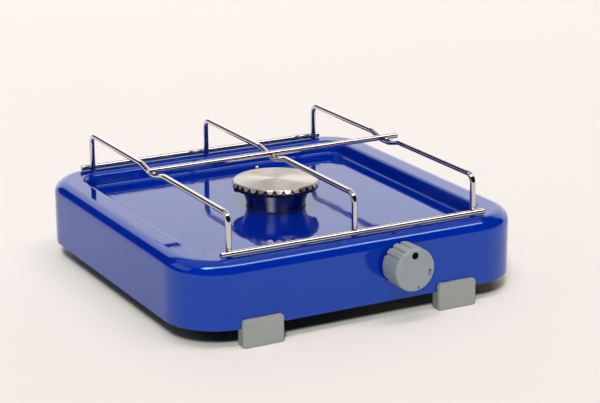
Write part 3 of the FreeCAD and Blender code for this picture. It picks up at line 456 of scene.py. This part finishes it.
def lay_print(name, loops, filled, centre, facing, node, body):
    """Lays a flat figure on a node.

    Its loops run from the outline inwards, as (right, up) about the centre.
    """
    surface = surface_of(node)
    facing = facing.normalized()
    right = UP.cross(facing).normalized()
    up = facing.cross(right)
    shape = bmesh.new()
    rows = []
    for loop in loops:
        row = []
        for across, rise in loop:
            start = centre + right * across + up * rise + facing * PRINT_RAY_START
            hit = surface.ray_cast(start, -facing)[0]
            row.append(shape.verts.new(hit + facing * PRINT_THICKNESS))
        rows.append(row)
    for outer, inner in zip(rows, rows[1:]):
        for i in range(len(outer)):
            j = (i + 1) % len(outer)
            shape.faces.new((outer[i], outer[j], inner[j], inner[i]))
    if filled:
        shape.faces.new(rows[-1])
    bmesh.ops.recalc_face_normals(shape, faces=shape.faces)
    if sum((face.normal for face in shape.faces), Vector()).dot(facing) < 0:
        bmesh.ops.reverse_faces(shape, faces=shape.faces)
    add_piece(name, mesh_of(name, shape), PRINT, body)


def disc_loops(radius):
    angles = [math.tau * i / DOT_SIDES for i in range(DOT_SIDES)]
    return [[(radius * k * math.cos(a), radius * k * math.sin(a)) for a in angles] for k in DOT_RINGS]


def flame_loops(height, line):
    """Outline of a flame: a drop with its tip up, slightly bent, drawn with a line of even width."""
    def drop(size, lift):
        points = []
        for i in range(FLAME_SIDES):
            a = math.tau * i / FLAME_SIDES
            rise = math.cos(a)
            side = FLAME_WIDTH * math.sin(a) * math.sin(a / 2) ** FLAME_TAPER
            bend = FLAME_BEND * (rise + FLAME_STRAIGHT) ** 2
            points.append((size * (side + bend), size * rise + lift))
        return points
    half = height / 2
    return [drop(half, 0.0), drop(half - line, -FLAME_HOLE_DROP * line)]


def print_marks():
    """The knob's off dot and two flames, and the index dot on the rim above it."""
    for name, (x, z), loops, filled in (
            ("off_dot", OFF_DOT_PLACE, disc_loops(OFF_DOT_R), True),
            ("large_flame_mark", LARGE_FLAME_PLACE, flame_loops(*LARGE_FLAME_SIZE), False),
            ("small_flame_mark", SMALL_FLAME_PLACE, flame_loops(*SMALL_FLAME_SIZE), True)):
        centre = Vector((x, KNOB_FACE_Y, z)) * MM
        lay_print(name, loops, filled, centre, FRONT, "knob", "knob_and_spindle")
    spot = Vector((*INDEX_DOT_PLACE, 0)) * MM
    hit, normal = surface_of("hob_pan").ray_cast(spot + UP * RIM_RAY_START, -UP)[:2]
    lay_print("index_dot", disc_loops(INDEX_DOT_R), True, hit, normal, "hob_pan", "chassis")


def weld_wires():
    """Small uneven nuggets where the wires of the pan support are resistance-welded."""
    shape = bmesh.new()

    def nugget(centre, reach):
        made = bmesh.ops.create_icosphere(shape, subdivisions=3, radius=1.0)
        for vertex in made["verts"]:
            swell = 1.0 + WELD_UNEVENNESS * noise.noise(vertex.co * WELD_GRAIN + centre * WELD_VARIETY)
            vertex.co = centre + Vector(c * r * swell for c, r in zip(vertex.co, reach))

    cross_low, cross_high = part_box("support_wire_cross")
    cross = (cross_low + cross_high) / 2
    for bail in ("left", "middle", "right"):
        low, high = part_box("support_bail_" + bail)
        x = (low.x + high.x) / 2
        wire_r = (high.x - low.x) / 2
        for base, leg_y in (("front", low.y + wire_r), ("rear", high.y - wire_r)):
            base_low, base_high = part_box("support_wire_" + base)
            middle = (base_low + base_high) / 2
            nugget(Vector((x, (leg_y + middle.y) / 2, middle.z)), BASE_WELD)
        nugget(Vector((x, cross.y, cross.z - wire_r * CROSS_WELD_DROP)), CROSS_WELD)
    for face in shape.faces:
        face.smooth = True
    add_piece("support_welds", mesh_of("support_welds", shape), MATERIALS["chrome_wire"], "pan_support")


def helix_cutter(place, radius, depth, pitch, start, end, hand):
    """A V-shaped cutter wound from start to end along an axis, which runs out of the metal at the end.

    place(reach, angle, along) gives a point.
    """
    count = int(abs(end - start) / pitch * THREAD_STEPS)
    along_step = math.copysign(pitch / THREAD_STEPS, end - start)
    shape = bmesh.new()
    sections = []
    for i in range(count + 1):
        angle = hand * math.tau * i / THREAD_STEPS
        along = start + along_step * i
        fade = min(1.0, (count - i) / THREAD_STEPS)
        floor = radius - depth * fade + (1 - fade) * CUTTER_RUN_OUT
        rim = radius + CUTTER_OVER
        half = THREAD_FLANK * pitch * (rim - floor) / (depth + CUTTER_OVER)
        sections.append([shape.verts.new(place(rim, angle, along - half)),
                         shape.verts.new(place(floor, angle, along)),
                         shape.verts.new(place(rim, angle, along + half))])
    for a, b in zip(sections, sections[1:]):
        for i in range(3):
            j = (i + 1) % 3
            shape.faces.new((a[i], a[j], b[j], b[i]))
    shape.faces.new(sections[0])
    shape.faces.new(sections[-1])
    bmesh.ops.recalc_face_normals(shape, faces=shape.faces)
    return add_object("cutter", mesh_of("cutter", shape))


def cut_thread(name, node, cutter, body):
    """Replaces a node by a copy of it that has a real screw thread."""
    source = nodes[node]
    slot = next(part["material_slot"] for part in frame["record"]["subparts"] if part["node"] == node)
    blank = add_object(name, source.data.copy())
    cut = blank.modifiers.new("cut", "BOOLEAN")
    cut.operation = "DIFFERENCE"
    cut.solver = "EXACT"
    cut.object = cutter
    bpy.context.view_layer.update()
    mesh = bpy.data.meshes.new_from_object(blank.evaluated_get(bpy.context.evaluated_depsgraph_get()))
    for leftover in (blank, cutter):
        bpy.data.objects.remove(leftover)
    mesh.shade_smooth()
    mesh.set_sharp_from_angle(angle=THREAD_SHARP_ANGLE)
    piece = add_piece(name, mesh, MATERIALS[slot], body)
    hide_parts(node)


def compress_springs():
    """Copies of the return and valve springs, which take the place of the hidden CAD nodes."""
    for node in ("return_spring", "valve_spring"):
        piece = add_piece(node + "_coil", nodes[node].data.copy(), MATERIALS["spring_steel"], "chassis")
        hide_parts(node)
        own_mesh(piece)


def cut_threads():
    """A left-hand thread on the hose connector and a right-hand one on the mixing tube."""
    low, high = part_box("inlet_connector")
    hose_x, hose_z = (low.x + high.x) / 2, (low.z + high.z) / 2

    def round_inlet(reach, angle, along):
        return Vector((hose_x + reach * math.cos(angle), along, hose_z + reach * math.sin(angle)))

    def round_tube(reach, angle, along):
        return Vector((reach * math.cos(angle), reach * math.sin(angle), along))

    for node, place, thread in (("inlet_connector", round_inlet, INLET_THREAD),
                                ("mixing_tube", round_tube, TUBE_THREAD)):
        cut_thread(node + "_threaded", node, helix_cutter(place, **thread), "chassis")


# Floor and light

def make_stage():
    bpy.ops.mesh.primitive_plane_add(size=FLOOR_SIZE, location=(0, 0, 0))
    floor = bpy.context.object
    floor.name = "floor"
    set_material(floor, floor_surface())


class Sky(NodeTree):
    """Light that comes from far away, as soft-edged windows of direction."""

    def __init__(self):
        world = bpy.data.worlds.new("studio")
        bpy.context.scene.world = world
        world.use_nodes = True
        self.tree = world.node_tree
        self.background = self.tree.nodes["Background"]
        coords = self.add("ShaderNodeTexCoord")
        split = self.add("ShaderNodeSeparateXYZ", {"Vector": coords.outputs["Generated"]})
        self.x, self.y, self.z = (split.outputs[axis] for axis in "XYZ")
        self.total = None

    def rise(self, value, low, high):
        """Goes smoothly from 0 at low to 1 at high."""
        node = self.add("ShaderNodeMapRange", {"Value": value, "From Min": low, "From Max": high},
                        interpolation_type="SMOOTHSTEP")
        return node.outputs["Result"]

    def window(self, value, low, high, soft):
        """1 from low to high, with edges that fade over twice soft."""
        return self.math("SUBTRACT", self.rise(value, low - soft, low + soft),
                         self.rise(value, high - soft, high + soft))

    def shine(self, mask, colour):
        """Adds light of this colour, times the mask."""
        light = self.add("ShaderNodeVectorMath", {0: mask, 1: colour}, operation="MULTIPLY").outputs["Vector"]
        if self.total is not None:
            both = self.add("ShaderNodeVectorMath", {0: self.total, 1: light}, operation="ADD")
            light = both.outputs["Vector"]
        self.total = light
        self.put(self.background.inputs["Color"], light)


def make_world():
    """A dark studio with a faint horizon that is brighter behind the stove, a lamp strip over it with a
    bright left end, a dim cloth, a soft box on the left and a pale sweep behind.

    The azimuth is in radians from the back, and the slopes are those of a direction against the vertical.
    """
    sky = Sky()
    sky.shine((1.0, 1.0, 1.0), (0.012, 0.012, 0.014))
    horizon = sky.math("SUBTRACT", 1.0, sky.rise(sky.z, 0.04, 0.14))
    sky.shine(horizon, (0.10, 0.10, 0.10))
    behind = sky.math("MULTIPLY", sky.rise(sky.y, 0.45, 0.75), sky.rise(sky.x, -0.45, -0.25))
    sky.shine(sky.math("MULTIPLY", horizon, behind), (0.45, 0.44, 0.43))
    azimuth = sky.math("ARCTAN2", sky.x, sky.y)
    slope_x = sky.math("DIVIDE", sky.x, sky.z)
    slope_y = sky.math("DIVIDE", sky.y, sky.z)
    across = sky.math("MULTIPLY", sky.window(slope_x, -0.66, 0.70, 0.05), sky.rise(sky.z, 0.3, 0.35))
    lamp = sky.math("MULTIPLY", across, sky.window(slope_y, -0.48, -0.25, 0.04))
    sky.shine(lamp, (9.0, 7.0, 6.5))
    sky.shine(sky.math("MULTIPLY", lamp, sky.window(slope_x, -0.66, -0.30, 0.08)), (8.0, 7.5, 7.0))
    cloth = sky.math("MULTIPLY", across, sky.window(slope_y, -0.25, 1.0, 0.06))
    sky.shine(cloth, (0.5, 0.5, 0.5))
    left = sky.math("MULTIPLY", sky.window(azimuth, -1.66, -0.80, 0.04), sky.window(sky.z, 0.34, 0.73, 0.03))
    sky.shine(left, (0.9, 0.9, 0.92))
    sweep = sky.math("MULTIPLY", sky.window(azimuth, -0.20, 1.42, 0.05), sky.window(sky.z, 0.0, 0.60, 0.08))
    sky.shine(sweep, (1.42, 1.36, 1.30))


def group(name, pieces):
    collection = bpy.data.collections.new(name)
    for piece in pieces:
        collection.objects.link(piece)
    return collection


def make_lamp(name, azimuth, elevation, energy, angle, pieces, mirrored, blockers=None):
    """A far lamp for these pieces alone, shaded by the blockers or, without any, by all pieces.

    Its azimuth, elevation and angle are in degrees. mirrored says whether shiny pieces reflect it.
    """
    data = bpy.data.lights.new(name, "SUN")
    data.angle = math.radians(angle)
    data.energy = energy
    lamp = add_object(name, data)
    lamp.visible_glossy = mirrored
    lamp.visible_camera = False
    lamp.rotation_euler = direction(azimuth, elevation).to_track_quat("Z", "Y").to_euler()
    lamp.light_linking.receiver_collection = group("lit_by_" + name, pieces)
    if blockers:
        lamp.light_linking.blocker_collection = group("shading_" + name, blockers)


def make_lamps():
    floor = bpy.data.objects["floor"]
    knob, cap, bowl, lip = (nodes[node] for node in ("knob", "burner_cap", "burner_bowl", "flame_lip"))
    stove = [piece for piece in bpy.data.objects if piece.type == "MESH" and piece != floor]
    all_but_cap = [piece for piece in stove if piece != cap]
    all_but_knob = [piece for piece in stove if piece != knob]
    make_lamp("fill", -22, 15, 1.75, 50, all_but_cap, mirrored=False)
    make_lamp("floor_light", -33, 42, 3.2, 11, [floor], mirrored=False, blockers=all_but_knob)
    make_lamp("bowl_key", -46, -30, 3.0, 24, [bowl], mirrored=True, blockers=[bowl])
    make_lamp("cap_key", 4, 24, 1.7, 30, [cap, bowl, lip], mirrored=True)


def main():
    make_camera()
    bpy.context.scene.view_settings.view_transform = "Standard"
    dress_nodes()
    print_marks()
    weld_wires()
    cut_threads()
    compress_springs()
    make_stage()
    make_world()
    make_lamps()


main()
